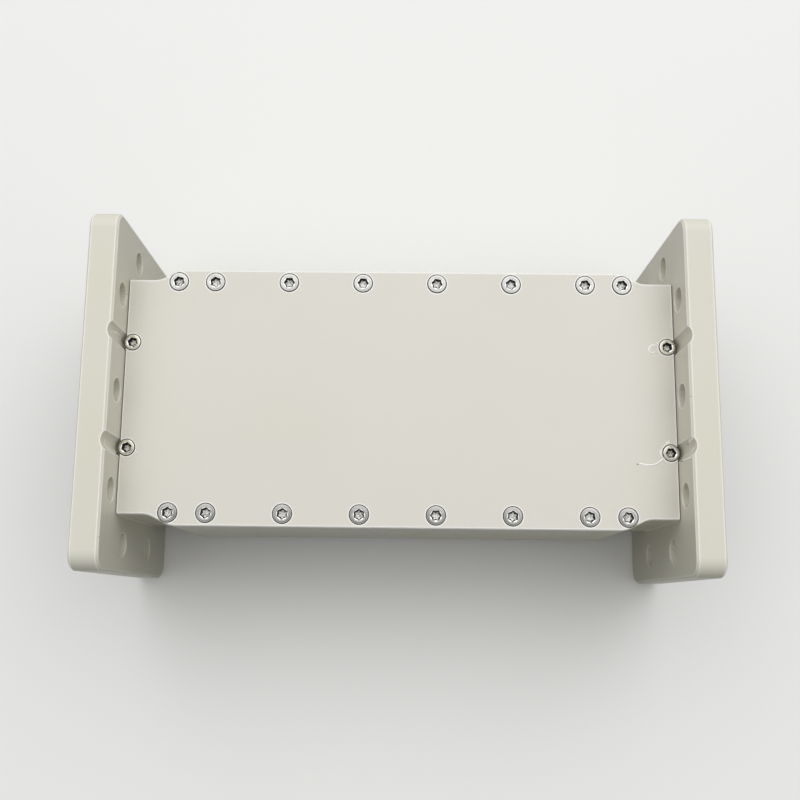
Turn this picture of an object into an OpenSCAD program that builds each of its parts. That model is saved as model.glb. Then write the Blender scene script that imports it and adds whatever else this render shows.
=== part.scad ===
// Waveguide bandpass filter. A milled body carries a rectangular port flange at each end and holds
// four resonant cavities between iris walls. A flat cover plate closes the cavities from above, and
// tuning screws with lock nuts stand in the floor from below.
// X runs along the waveguide, Y is across it and Z is up. The origin is under the middle of the
// filter, level with the lower edge of the two flanges. All sizes are in millimetres.

/* [Overall] */
// Length over the outer faces of the two flanges
length = 170; // [155:1:220]

/* [Flanges] */
// Width of a flange, along Y
flange_w = 98.4; // [94:0.1:110]
// Height of a flange, along Z
flange_h = 69.85; // [68:0.05:80]
// Thickness of a flange
flange_t = 8; // [6:0.5:12]
// Radius of a flange's corners
flange_corner_r = 5; // [2:0.5:7]
// Chamfer along the rims of a flange
flange_ease = 0.6; // [0.2:0.1:1]

/* [Waveguide] */
// Inside width of the rectangular waveguide, along Y
guide_w = 58.17; // [52:0.01:60]
// Inside height of the rectangular waveguide, along Z
guide_h = 29.08; // [24:0.01:30]

/* [Flange bolt holes] */
// Diameter of a bolt hole
bolt_d = 6.76; // [5:0.01:7]
// Distance between the upper row and the lower row
bolt_rows = 54; // [52:0.1:56]
// Distance from one hole to the next along a row
bolt_pitch = 27.25; // [24:0.05:30]
// Distance between the two outer columns
bolt_columns = 82.5; // [81:0.1:84]
// Distance between the two holes of an outer column
bolt_column_pitch = 25.8; // [20:0.1:28]

/* [Body] */
// Thickness of the wall along each side of the cavities
wall_t = 7.4; // [6.8:0.1:8]
// Step in from the body's side to the neck beside each flange, which clears the bolt heads
neck_step = 3.1; // [2.5:0.1:3.6]
// Distance from a flange to the middle of the sweep between neck and body
sweep_inset = 11.8; // [11:0.1:16]
// Slope of the sweep against the body's side
sweep_angle = 26; // [22:1:32]
// Radius of the two bends of the sweep
sweep_r = 6.5; // [4:0.1:7]
// Thickness of the floor under the waveguide
floor_t = 3; // [2.5:0.1:5]
// Thickness of the bridge over each port, which holds the cover's end
bridge_t = 4.4; // [4:0.1:6]
// Length of that bridge, from the flange inwards
bridge_l = 5.5; // [5.2:0.1:7]
// Chamfer along the body's lower edge
body_ease = 0.4; // [0.2:0.1:1]

/* [Irises] */
// Thickness of an iris wall
iris_t = 3; // [2:0.1:3.2]
// Width of the window between a port and the first cavity
port_window = 36; // [30:0.5:40]
// Width of the window between an end cavity and an inner cavity
side_window = 27; // [22:0.5:32]
// Width of the window in the middle of the filter
middle_window = 25; // [20:0.5:30]
// Length of an end cavity
end_cavity_l = 32.5; // [28:0.5:35]
// Radius of the corners that the cutter leaves in a cavity
cavity_corner_r = 3; // [1:0.5:5]

/* [Cover] */
// Thickness of the cover plate
cover_t = 3; // [2.6:0.1:5]
// Gap between the cover's end and the flange
cover_gap = 0.3; // [0.1:0.05:0.6]
// Chamfer along the cover's upper edge
cover_ease = 0.3; // [0.1:0.05:0.6]

/* [Cover screws] */
// Number of screws along each side of the cover
side_screws = 8; // [6:1:8]
// Thread diameter of a side screw
side_screw_d = 3; // [2.5:0.5:3]
// Head diameter of a side screw
side_head_d = 5.2; // [5:0.1:5.4]
// Length of a side screw, from its top down
side_screw_l = 8; // [7:0.5:10]
// Distance from the body's side to the line of screws
side_screw_inset = 3.6; // [3.3:0.1:3.8]
// Distance between the two screws nearest to a flange
side_screw_pair = 10.4; // [8:0.1:14]
// Width across the lobes of a side screw's recess
side_recess_d = 2.75; // [2:0.05:3]
// Thread diameter of an end screw
end_screw_d = 2.5; // [2:0.5:2.5]
// Head diameter of an end screw
end_head_d = 4.5; // [4:0.1:4.6]
// Length of an end screw, from its top down
end_screw_l = 6; // [5:0.5:6.5]
// Distance of an end screw from the middle line, along Y
end_screw_y = 15; // [8:0.5:20]
// Distance of an end screw from the flange
end_screw_inset = 2; // [1.6:0.1:2.6]
// Width across the lobes of an end screw's recess
end_recess_d = 2.3; // [1.8:0.05:2.4]
// Radius of the groove in the flange that lets the driver reach an end screw
scallop_r = 3.2; // [2.8:0.1:4]
// How far a head stands above the cover
head_proud = 0.2; // [0:0.05:0.4]

/* [Tuning screws] */
// Thread diameter of a cavity's tuning screw
tuning_d = 5; // [4:0.5:6]
// How far the end cavities' screws reach above the floor
tuning_reach_end = 8.5; // [2:0.1:12]
// How far the inner cavities' screws reach above the floor
tuning_reach_inner = 10; // [2:0.1:12]
// Thread diameter of a coupling screw in an iris window
coupling_d = 4; // [3:0.5:5]
// How far the outer coupling screws reach above the floor
coupling_reach_side = 5.5; // [2:0.1:9]
// How far the middle coupling screw reaches above the floor
coupling_reach_middle = 6.5; // [2:0.1:9]
// How far every tuning and coupling screw stands below the body
tuning_tail = 8; // [5:0.5:10]
// Width across the flats of a tuning screw's lock nut
tuning_nut_w = 8; // [7:0.5:10]
// Width across the flats of a coupling screw's lock nut
coupling_nut_w = 7; // [6:0.5:8]
// Thickness of a lock nut
nut_t = 2.7; // [2:0.1:4]

/* [Hidden] */
$fn = 48;
// Clearance between a screw and its hole, on the radius
thread_gap = 0.03;
// Width of the ring round a screw's head, on the radius
head_ring = 0.2;
// Land left between the outermost countersinks and the cover's edge
edge_land = 0.1;
// Depth of the straight part of a countersink
sink_depth = 0.3;
// Clearance of a screw's shank in the cover, on the radius
shank_gap = 0.2;
// Extra depth of a tapped hole below its screw
tap_spare = 0.8;
// Diameter of one lobe of a driver recess, as a share of the width across the lobes
lobe_share = 0.26;
// Chamfers at a screw's tip and round its head, and the depth of its driver recess
screw_tip = 0.4;
head_rim = 0.1;
recess_depth = 1.2;
// Width and depth of the driver slot of a tuning or coupling screw
slot_w = 0.9;
slot_depth = 1.3;
// Chamfer round a lock nut's faces, inwards from the flats
nut_ease = 0.1;
// Amount by which a cut runs past the face that it opens
over = 1;

inner_x = length / 2 - flange_t;
mid_z = flange_h / 2;
floor_z = mid_z - guide_h / 2;
guide_top_z = mid_z + guide_h / 2;
under_z = floor_z - floor_t;
seat_z = guide_top_z + bridge_t;
cover_z = seat_z + cover_t;
half_body = guide_w / 2 + wall_t;
half_neck = half_body - neck_step;

// The sweep: a bend out of the neck, a straight slope and a bend into the body's side.
bend_dx = sweep_r * sin(sweep_angle);
bend_dy = sweep_r * (1 - cos(sweep_angle));
slope_dx = (half_body - half_neck - 2 * bend_dy) / tan(sweep_angle);
sweep_x = inner_x - sweep_inset;
wide_x = sweep_x - slope_dx / 2 - bend_dx;
neck_x = sweep_x + slope_dx / 2 + bend_dx;
slope_a = [wide_x + bend_dx, half_body - bend_dy];
slope_b = [neck_x - bend_dx, half_neck + bend_dy];

// Iris walls and cavities along X, for the half with positive X.
port_iris_in = inner_x - bridge_l;
port_iris_out = port_iris_in + iris_t;
side_iris_x = port_iris_in - end_cavity_l - iris_t / 2;
end_cavity_x = port_iris_in - end_cavity_l / 2;
inner_cavity_l = side_iris_x - iris_t;
inner_cavity_x = iris_t / 2 + inner_cavity_l / 2;
cavity_places = [-end_cavity_x, -inner_cavity_x, inner_cavity_x, end_cavity_x];
cavity_lengths = [end_cavity_l, inner_cavity_l, inner_cavity_l, end_cavity_l];
cavity_reaches = [tuning_reach_end, tuning_reach_inner, tuning_reach_inner, tuning_reach_end];
iris_places = [-side_iris_x, 0, side_iris_x];
iris_windows = [side_window, middle_window, side_window];
iris_reaches = [coupling_reach_side, coupling_reach_middle, coupling_reach_side];

// Cover screws: the outermost countersink just clears the sweep, the next screw sits close to it, and the
// rest are spaced evenly between.
side_y = half_body - side_screw_inset;
side_sink_r = side_head_d / 2 + head_ring;
slope_y = (half_body + half_neck) / 2;
side_end_x = sweep_x - (side_sink_r + edge_land - (slope_y - side_y) * cos(sweep_angle)) / sin(sweep_angle);
side_next_x = side_end_x - side_screw_pair;
side_pitch = 2 * side_next_x / (side_screws - 3);
side_places = concat([-side_end_x], [for (i = [0:side_screws - 3]) -side_next_x + i * side_pitch], [side_end_x]);
end_x = inner_x - end_screw_inset;
end_places = [[-end_x, -end_screw_y], [-end_x, end_screw_y], [end_x, -end_screw_y], [end_x, end_screw_y]];
end_names = ["end_screw_left_1", "end_screw_left_2", "end_screw_right_1", "end_screw_right_2"];

// Bolt holes of one flange, as places across (Y) and up from the flange's middle (Z).
bolt_places = concat(
    [for (y = [-1:1], z = [-1, 1]) [y * bolt_pitch, z * bolt_rows / 2]],
    [for (y = [-1, 1], z = [-1, 1]) [y * bolt_columns / 2, z * bolt_column_pitch / 2]]);

// A rectangle with round corners, centred.
module rounded_rect(w, h, r) {
    square([w - 2 * r, h], center = true);
    square([w, h - 2 * r], center = true);
    for (x = [-1, 1], y = [-1, 1]) translate([x * (w / 2 - r), y * (h / 2 - r)]) circle(r);
}

// A flat plate with round corners and a chamfer c round both faces, from z = 0 up to t.
module eased_plate(w, h, t, r, c) {
    function strip(half) = [[-half + c, 0], [half - c, 0], [half, c], [half, t - c],
        [half - c, t], [-half + c, t], [-half, t - c], [-half, c]];
    rotate([90, 0, 0]) linear_extrude(h - 2 * r, center = true) polygon(strip(w / 2));
    rotate([90, 0, 90]) linear_extrude(w - 2 * r, center = true) polygon(strip(h / 2));
    for (x = [-1, 1], y = [-1, 1]) translate([x * (w / 2 - r), y * (h / 2 - r), 0])
        rotate_extrude() polygon([[0, 0], [r - c, 0], [r, c], [r, t - c], [r - c, t], [0, t]]);
}

// Plan outline of the body and the cover: wide in the middle, swept in to a neck at each end.
module outline(half_l) {
    corner = [wide_x + sweep_r * tan(sweep_angle / 2), half_body];
    quarter = [corner, slope_b, [neck_x, half_neck], [half_l, half_neck]];
    reach = sweep_r + 2 * over;
    difference() {
        polygon(concat(quarter,
            [for (i = [3:-1:0]) [quarter[i].x, -quarter[i].y]],
            [for (p = quarter) -p],
            [for (i = [3:-1:0]) [-quarter[i].x, quarter[i].y]]));
        for (x = [0, 1], y = [0, 1]) mirror([x, 0]) mirror([0, y]) {
            translate([wide_x, half_body - sweep_r]) difference() {
                polygon([[0, 0], [0, reach], reach * [sin(sweep_angle), cos(sweep_angle)]]);
                circle(sweep_r);
            }
            translate([neck_x, half_neck + sweep_r]) circle(sweep_r);
        }
    }
}

// Cutter for a chamfer c along the edge from a to b at z = 0, with the material on the right of the edge.
module edge_cut(a, b, c) {
    translate([a.x, a.y, 0]) rotate([0, 0, atan2(b.y - a.y, b.x - a.x)]) rotate([90, 0, 90])
        linear_extrude(norm(b - a)) polygon([[-c - over, over], [over, over], [over, -c - over]]);
}

// The outline as a block from z = 0 up to h, with a chamfer c along its upper edge.
module eased_block(h, half_l, c) {
    difference() {
        linear_extrude(h) outline(half_l);
        for (x = [0, 1], y = [0, 1]) mirror([x, 0, 0]) mirror([0, y, 0]) translate([0, 0, h]) {
            edge_cut([-over, half_body], [wide_x, half_body], c);
            edge_cut(slope_a, slope_b, c);
            edge_cut([neck_x, half_neck], [half_l + over, half_neck], c);
            translate([wide_x, half_body - sweep_r, 0]) rotate([0, 0, 90 - sweep_angle])
                rotate_extrude(angle = sweep_angle)
                    polygon([[sweep_r - c - over, over], [sweep_r + over, over], [sweep_r + over, -c - over]]);
            translate([neck_x, half_neck + sweep_r, -c - over])
                cylinder(r1 = sweep_r - over, r2 = sweep_r + c + over, h = c + 2 * over);
        }
    }
}

// The flange at the end with positive X, with its bolt holes.
module flange() {
    translate([inner_x, 0, mid_z]) rotate([90, 0, 90]) difference() {
        eased_plate(flange_w, flange_h, flange_t, flange_corner_r, flange_ease);
        for (p = bolt_places) translate([p.x, p.y, -over]) cylinder(d = bolt_d, h = flange_t + 2 * over);
    }
}

// The cavities and the windows between them, cut from the cover's seat down to the floor.
module cavity_cut() {
    translate([0, 0, floor_z]) linear_extrude(seat_z - floor_z + over) {
        for (i = [0:3]) translate([cavity_places[i], 0]) rounded_rect(cavity_lengths[i], guide_w, cavity_corner_r);
        for (i = [0:2]) translate([iris_places[i], 0]) square([iris_t + 2 * over, iris_windows[i]], center = true);
    }
}

// The waveguide port with positive X and the window in the iris behind it.
module port_cut() {
    translate([port_iris_out, -guide_w / 2, floor_z]) cube([flange_t + bridge_l, guide_w, guide_h]);
    translate([port_iris_in - over, -port_window / 2, floor_z]) cube([iris_t + 2 * over, port_window, guide_h]);
}

// Tapped holes for the cover screws and for the tuning and coupling screws.
module tapped_holes() {
    side_depth = side_screw_l - cover_t - head_proud + tap_spare;
    end_depth = end_screw_l - cover_t - head_proud + tap_spare;
    for (x = side_places, y = [-side_y, side_y]) translate([x, y, seat_z - side_depth])
        cylinder(d = side_screw_d + 2 * thread_gap, h = side_depth + over);
    for (p = end_places) translate([p.x, p.y, seat_z - end_depth])
        cylinder(d = end_screw_d + 2 * thread_gap, h = end_depth + over);
    for (x = cavity_places) translate([x, 0, under_z - over])
        cylinder(d = tuning_d + 2 * thread_gap, h = floor_t + 2 * over);
    for (x = iris_places) translate([x, 0, under_z - over])
        cylinder(d = coupling_d + 2 * thread_gap, h = floor_t + 2 * over);
}

// The milled body: flanges, necks and cavity block in one piece.
module body() {
    color([0.80, 0.79, 0.74]) difference() {
        union() {
            translate([0, 0, seat_z]) mirror([0, 0, 1]) eased_block(seat_z - under_z, inner_x + over, body_ease);
            for (x = [0, 1]) mirror([x, 0, 0]) flange();
        }
        cavity_cut();
        for (x = [0, 1]) mirror([x, 0, 0]) port_cut();
        tapped_holes();
        for (p = end_places) translate([p.x, p.y, seat_z]) cylinder(r = scallop_r, h = flange_h);
    }
}

// Countersunk hole for a screw, down from z = 0.
module countersink(head_d, screw_d) {
    sink_r = head_d / 2 + head_ring;
    hole_r = screw_d / 2 + shank_gap;
    rotate_extrude() polygon([[0, over], [sink_r, over], [sink_r, -sink_depth],
        [hole_r, -sink_depth - sink_r + hole_r], [hole_r, -cover_t - over], [0, -cover_t - over]]);
}

// The flat cover plate, seated on the body between the flanges.
module cover() {
    color([0.83, 0.82, 0.78]) translate([0, 0, seat_z]) difference() {
        eased_block(cover_t, inner_x - cover_gap, cover_ease);
        for (x = side_places, y = [-side_y, side_y]) translate([x, y, cover_t])
            countersink(side_head_d, side_screw_d);
        for (p = end_places) translate([p.x, p.y, cover_t]) countersink(end_head_d, end_screw_d);
    }
}

// Outline of the six-lobed driver recess, d across the lobes.
module six_lobes(d) {
    lobe_d = lobe_share * d;
    circle(d = d - lobe_d);
    for (a = [0:60:300]) rotate(a) translate([(d - lobe_d) / 2, 0]) circle(d = lobe_d);
}

// Countersunk screw with its head's top at z = head_proud and the cover's face at z = 0.
module countersunk_screw(d, head_d, l, recess_d) {
    head_r = head_d / 2;
    rim_z = -sink_depth - head_ring + thread_gap;
    end_z = head_proud - l;
    difference() {
        rotate_extrude() polygon([[0, head_proud], [head_r - head_rim, head_proud], [head_r, head_proud - head_rim],
            [head_r, rim_z], [d / 2, rim_z - head_r + d / 2], [d / 2, end_z + screw_tip],
            [d / 2 - screw_tip, end_z], [0, end_z]]);
        translate([0, 0, head_proud - recess_depth]) linear_extrude(recess_depth + over) six_lobes(recess_d);
    }
}

// One screw of the two rows along the cover; side is -1 for the front row and 1 for the rear row.
module cover_screw(i, side) {
    color([0.72, 0.72, 0.71]) translate([side_places[i - 1], side * side_y, cover_z])
        countersunk_screw(side_screw_d, side_head_d, side_screw_l, side_recess_d);
}

// One of the four smaller screws at the cover's ends.
module end_screw(i) {
    color([0.72, 0.72, 0.71]) translate([end_places[i].x, end_places[i].y, cover_z])
        countersunk_screw(end_screw_d, end_head_d, end_screw_l, end_recess_d);
}

// Slotted grub screw standing through the floor, its tip a given reach above the floor.
module grub_screw(d, reach) {
    tip_z = floor_z + reach;
    tail_z = under_z - tuning_tail;
    difference() {
        rotate_extrude() polygon([[0, tail_z], [d / 2 - screw_tip, tail_z], [d / 2, tail_z + screw_tip],
            [d / 2, tip_z - screw_tip], [d / 2 - screw_tip, tip_z], [0, tip_z]]);
        translate([-d, -slot_w / 2, tail_z - over]) cube([2 * d, slot_w, slot_depth + over]);
    }
}

// Hexagon lock nut under the floor for a thread of diameter d, with both faces chamfered.
module lock_nut(d, across_flats) {
    corner_r = across_flats / 2 / cos(30);
    flat_r = across_flats / 2 - nut_ease;
    drop = (corner_r - flat_r) * tan(30);
    translate([0, 0, under_z - nut_t]) difference() {
        intersection() {
            cylinder(r = corner_r, h = nut_t, $fn = 6);
            rotate_extrude() polygon([[0, 0], [flat_r, 0], [corner_r, drop], [corner_r, nut_t - drop],
                [flat_r, nut_t], [0, nut_t]]);
        }
        translate([0, 0, -over]) cylinder(d = d + 2 * thread_gap, h = nut_t + 2 * over);
    }
}

// Tuning screw of one cavity.
module tuning_screw(i) {
    color([0.78, 0.64, 0.36]) translate([cavity_places[i - 1], 0, 0]) grub_screw(tuning_d, cavity_reaches[i - 1]);
}

// Lock nut of one cavity's tuning screw.
module tuning_nut(i) {
    color([0.72, 0.72, 0.71]) translate([cavity_places[i - 1], 0, 0]) lock_nut(tuning_d, tuning_nut_w);
}

// Coupling screw of one iris window.
module coupling_screw(i) {
    color([0.78, 0.64, 0.36]) translate([iris_places[i - 1], 0, 0]) grub_screw(coupling_d, iris_reaches[i - 1]);
}

// Lock nut of one iris window's coupling screw.
module coupling_nut(i) {
    color([0.72, 0.72, 0.71]) translate([iris_places[i - 1], 0, 0]) lock_nut(coupling_d, coupling_nut_w);
}

body();
cover();
for (i = [1:side_screws]) {
    cover_screw(i, -1);
    cover_screw(i, 1);
}
for (i = [0:3]) end_screw(i);
for (i = [1:4]) {
    tuning_screw(i);
    tuning_nut(i);
}
for (i = [1:3]) {
    coupling_screw(i);
    coupling_nut(i);
}
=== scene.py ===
"""Looks of the waveguide bandpass filter: enamel, bare metal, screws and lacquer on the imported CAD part.

Lengths are in metres, unless a name or a comment says millimetres. X runs along the waveguide, Y is across
it and Z is up.
"""

import math

import bpy
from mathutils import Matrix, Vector


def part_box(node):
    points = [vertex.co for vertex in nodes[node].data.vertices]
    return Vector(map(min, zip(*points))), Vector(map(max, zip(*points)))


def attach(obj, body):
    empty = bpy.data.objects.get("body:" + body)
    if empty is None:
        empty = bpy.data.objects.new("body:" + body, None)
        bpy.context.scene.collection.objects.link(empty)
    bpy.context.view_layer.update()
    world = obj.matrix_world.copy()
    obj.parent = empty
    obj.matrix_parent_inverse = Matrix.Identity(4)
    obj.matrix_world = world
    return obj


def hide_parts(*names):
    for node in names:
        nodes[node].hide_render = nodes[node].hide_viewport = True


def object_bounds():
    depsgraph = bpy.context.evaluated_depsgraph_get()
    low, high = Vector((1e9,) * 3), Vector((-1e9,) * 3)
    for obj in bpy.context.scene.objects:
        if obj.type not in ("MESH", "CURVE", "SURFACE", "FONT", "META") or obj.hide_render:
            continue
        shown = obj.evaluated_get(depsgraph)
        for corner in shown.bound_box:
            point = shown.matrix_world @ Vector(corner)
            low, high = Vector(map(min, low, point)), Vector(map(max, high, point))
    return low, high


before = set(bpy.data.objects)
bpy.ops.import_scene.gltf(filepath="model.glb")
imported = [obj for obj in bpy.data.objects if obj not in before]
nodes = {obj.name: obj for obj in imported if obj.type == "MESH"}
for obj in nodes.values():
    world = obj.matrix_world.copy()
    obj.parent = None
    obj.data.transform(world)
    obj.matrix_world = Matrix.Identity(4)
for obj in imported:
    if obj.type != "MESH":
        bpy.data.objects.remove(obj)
cad_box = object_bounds()
MM = 0.001

# Sizes that repeat the part's source.
HALF_LENGTH = cad_box[1][0]
GUIDE_HALF_W = 29.085 * MM
GUIDE_FLOOR_Z = 20.385 * MM
COVER_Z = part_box("cover")[1].z
SEAT_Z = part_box("cover")[0].z
HEAD_PROUD = 0.2 * MM
SCREW_TOP_Z = COVER_Z + HEAD_PROUD
FLANGE_INNER_X_MM = 77.0
# The round grooves in the flanges that let a driver reach the end screws. Each groove's axis is its screw's.
GROOVE_R = 3.2 * MM
GROOVE_X = 75 * MM
GROOVE_Y = 15 * MM

# The photograph's viewpoint: place in metres, turn in degrees, shift in frame widths.
CAMERA_PLACE = (0.00163, -0.05738, 0.31637)
CAMERA_TURN = (9.682, 0.378, 0.678)
CAMERA_SHIFT = (0.00498, 0.05435)
CAMERA_LENS_MM = 42.986
CAMERA_SENSOR_MM = 36.0

# Sockets by number, where names repeat: the Mix node for numbers, vectors and colours, and Map Range.
FACTOR = 0
NUMBER_A, NUMBER_B = 2, 3
VECTOR_A, VECTOR_B, VECTOR_OUT = 4, 5, 1
COLOUR_A, COLOUR_B, COLOUR_OUT = 6, 7, 2
FROM_LOW, FROM_HIGH, TO_LOW, TO_HIGH = 1, 2, 3, 4


def linear(hex_colour):
    """An sRGB hex colour as linear RGBA."""
    channels = [int(hex_colour[i:i + 2], 16) / 255 for i in (1, 3, 5)]
    return [c / 12.92 if c <= 0.04045 else ((c + 0.055) / 1.055) ** 2.4 for c in channels] + [1.0]


def add(tree, kind, inputs=(), **settings):
    """Add a node, with settings as its properties.

    inputs maps each socket to a value, to the socket that feeds it, or to a node whose first output feeds it.
    """
    node = tree.nodes.new(kind)
    for name, value in settings.items():
        setattr(node, name, value)
    for key, value in dict(inputs).items():
        if isinstance(value, bpy.types.Node):
            value = value.outputs[0]
        if isinstance(value, bpy.types.NodeSocket):
            tree.links.new(value, node.inputs[key])
        else:
            node.inputs[key].default_value = value
    return node


def blank_material(name):
    """A material with an empty tree, and its tree."""
    material = bpy.data.materials.new(name)
    material.use_nodes = True
    material.node_tree.nodes.clear()
    return material, material.node_tree


def per_metre(size_mm):
    """Texture scale that gives a pattern its feature size in millimetres."""
    return 1000.0 / size_mm


def into_scene(name, data):
    """A new object in the scene."""
    thing = bpy.data.objects.new(name, data)
    bpy.context.scene.collection.objects.link(thing)
    return thing


# Camera

camera_data = bpy.data.cameras.new("camera")
camera_data.lens = CAMERA_LENS_MM
camera_data.sensor_width = CAMERA_SENSOR_MM
camera_data.shift_x, camera_data.shift_y = CAMERA_SHIFT
camera_data.clip_start = 0.01
camera = into_scene("camera", camera_data)
camera.location = CAMERA_PLACE
camera.rotation_euler = [math.radians(a) for a in CAMERA_TURN]
bpy.context.scene.camera = camera
bpy.context.scene.view_settings.view_transform = "Standard"


# Materials

# Small chips in the enamel, read from the photograph: place and radius in millimetres.
BODY_CHIPS = [
    ((-84.9, 40.6, 69.7), 0.24), ((-84.9, 36.9, 69.8), 0.18), ((-77.0, -40.6, 69.3), 0.14),
    ((-84.9, -41.8, 69.6), 0.14), ((77.05, -1.9, 69.4), 0.14), ((77.0, -1.0, 52.9), 0.16),
    ((85.0, 42.2, 69.7), 0.12), ((77.2, -2.0, 56.6), 0.20), ((77.1, 8.6, 54.6), 0.24),
    ((77.7, -40.4, 44.6), 0.08), ((78.0, -40.7, 44.5), 0.10), ((78.4, -41.1, 44.4), 0.08),
    ((-77.0, 28.4, 58.7), 0.14), ((-77.0, 26.6, 58.6), 0.10),
]
COVER_CHIPS = [
    ((65.7, -18.2, 56.9), 0.20), ((-52.2, -30.3, 56.9), 0.13),
]
PRIMER = "#57534A"

# How far the coat rounds an edge, how far the painted highlight along each edge reaches, and how ragged a
# chip's outline is.
COAT_ROUNDING = 0.08 * MM
EDGE_HIGHLIGHT_REACH = 0.60 * MM
CHIP_RAGGED = 0.2 * MM
# How far the bare zones reach in from the port faces, and past the guide's walls and floor.
PORT_MARGIN = 0.03 * MM
GUIDE_MARGIN = 0.1 * MM
# The facing cutter's arcs: their spacing, and where the pattern's middle is moved so that they sweep across.
ARC_SPACING_MM = 0.8
CUTTER_OFFSET = (0.0, 0.061, -0.012)
# A wave texture of scale 1 repeats after this length.
WAVE_LENGTH = 0.314


def enamel(name, tones, chips, masked_metal=False):
    """Two-part enamel sprayed on milled aluminium: an even cream coat, satin, with a faint orange peel.

    tones are the light tone, the slightly yellower one and the near-white one painted along rounded edges as
    a highlight. With masked_metal, the waveguide's inside and the port faces keep the bare conversion-coated
    metal.
    """
    light, yellower, painted_edge_highlight = [linear(tone) for tone in tones]
    material, tree = blank_material(name)
    place = add(tree, "ShaderNodeTexCoord").outputs["Object"]

    # A slow drift of the coat's thickness, and a grain of pigment that is drawn coarse enough to show.
    drift = add(tree, "ShaderNodeTexNoise", {"Vector": place, "Scale": per_metre(38), "Detail": 2.0})
    drift = add(tree, "ShaderNodeMapRange", {"Value": drift, FROM_LOW: 0.35, FROM_HIGH: 0.65})
    coat = add(tree, "ShaderNodeMix", {FACTOR: drift, COLOUR_A: light, COLOUR_B: yellower}, data_type="RGBA")
    grain = add(tree, "ShaderNodeTexNoise", {"Vector": place, "Scale": per_metre(0.5), "Detail": 3.0})
    grain = add(tree, "ShaderNodeMapRange", {"Value": grain, FROM_LOW: 0.3, FROM_HIGH: 0.7,
                                             TO_LOW: 0.99, TO_HIGH: 1.01})
    coat = add(tree, "ShaderNodeVectorMath", {0: coat.outputs[COLOUR_OUT], "Scale": grain},
               operation="SCALE")

    # The coat rounds every milled edge, and a paler line about 0.5 mm wide is painted along it as a
    # highlight.
    rounded = add(tree, "ShaderNodeBevel", {"Radius": COAT_ROUNDING}, samples=6)
    highlight_bevel = add(tree, "ShaderNodeBevel", {"Radius": EDGE_HIGHLIGHT_REACH}, samples=6)
    surface = add(tree, "ShaderNodeNewGeometry")
    turn = add(tree, "ShaderNodeVectorMath", {0: highlight_bevel, 1: surface.outputs["Normal"]},
               operation="DOT_PRODUCT")
    edge_highlight = add(tree, "ShaderNodeMapRange", {"Value": turn.outputs["Value"],
                                            FROM_LOW: 0.9995, FROM_HIGH: 0.99})
    coat = add(tree, "ShaderNodeMix", {FACTOR: edge_highlight, COLOUR_A: coat, COLOUR_B: painted_edge_highlight}, data_type="RGBA")

    # Chips down to the grey primer. The noise that makes them ragged adds half of CHIP_RAGGED on average.
    ragged = add(tree, "ShaderNodeTexNoise", {"Vector": place, "Scale": per_metre(0.25), "Detail": 2.0})
    ragged = add(tree, "ShaderNodeMath", {0: ragged, 1: CHIP_RAGGED}, operation="MULTIPLY")
    chipped = 0.0
    for spot, radius in chips:
        away = add(tree, "ShaderNodeVectorMath", {0: place, 1: [c * MM for c in spot]}, operation="DISTANCE")
        away = add(tree, "ShaderNodeMath", {0: away.outputs["Value"], 1: ragged}, operation="ADD")
        chip = add(tree, "ShaderNodeMath", {0: away, 1: radius * MM + CHIP_RAGGED / 2},
                   operation="LESS_THAN")
        chipped = add(tree, "ShaderNodeMath", {0: chipped, 1: chip}, operation="MAXIMUM")
    coat = add(tree, "ShaderNodeMix", {FACTOR: chipped, COLOUR_A: coat.outputs[COLOUR_OUT],
                                       COLOUR_B: linear(PRIMER)}, data_type="RGBA")

    # Satin gloss that varies a little, and the orange peel of a sprayed coat, 1.4 mm from dimple to dimple.
    gloss = add(tree, "ShaderNodeTexNoise", {"Vector": place, "Scale": per_metre(9), "Detail": 2.0})
    gloss = add(tree, "ShaderNodeMapRange", {"Value": gloss, FROM_LOW: 0.3, FROM_HIGH: 0.7,
                                             TO_LOW: 0.36, TO_HIGH: 0.44})
    peel = add(tree, "ShaderNodeTexNoise", {"Vector": place, "Scale": per_metre(1.4), "Detail": 2.0})
    peel = add(tree, "ShaderNodeBump", {"Height": peel, "Strength": 0.25, "Distance": 0.02 * MM,
                                        "Normal": rounded})
    colour = coat.outputs[COLOUR_OUT]
    rough = gloss
    normal = peel
    metallic = 0.0

    if masked_metal:
        # Bare on the two port faces and where the guide carries current, which were masked for the spray.
        axes = add(tree, "ShaderNodeSeparateXYZ", {"Vector": place})
        along = add(tree, "ShaderNodeMath", {0: axes.outputs["X"]}, operation="ABSOLUTE")
        across = add(tree, "ShaderNodeMath", {0: axes.outputs["Y"]}, operation="ABSOLUTE")
        facing = add(tree, "ShaderNodeSeparateXYZ", {"Vector": surface.outputs["True Normal"]})
        facing = add(tree, "ShaderNodeMath", {0: facing.outputs["X"]}, operation="ABSOLUTE")
        facing = add(tree, "ShaderNodeMath", {0: facing, 1: 0.95}, operation="GREATER_THAN")
        port = add(tree, "ShaderNodeMath", {0: along, 1: HALF_LENGTH - PORT_MARGIN},
                   operation="GREATER_THAN")
        port = add(tree, "ShaderNodeMath", {0: port, 1: facing}, operation="MULTIPLY")
        between = add(tree, "ShaderNodeMath", {0: across, 1: GUIDE_HALF_W + GUIDE_MARGIN},
                      operation="LESS_THAN")
        above = add(tree, "ShaderNodeMath", {0: axes.outputs["Z"], 1: GUIDE_FLOOR_Z - GUIDE_MARGIN},
                    operation="GREATER_THAN")
        below = add(tree, "ShaderNodeMath", {0: axes.outputs["Z"], 1: SEAT_Z - GUIDE_MARGIN},
                    operation="LESS_THAN")
        inside = add(tree, "ShaderNodeMath", {0: between, 1: above}, operation="MULTIPLY")
        inside = add(tree, "ShaderNodeMath", {0: inside, 1: below}, operation="MULTIPLY")
        bare = add(tree, "ShaderNodeMath", {0: port, 1: inside}, operation="MAXIMUM")
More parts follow.
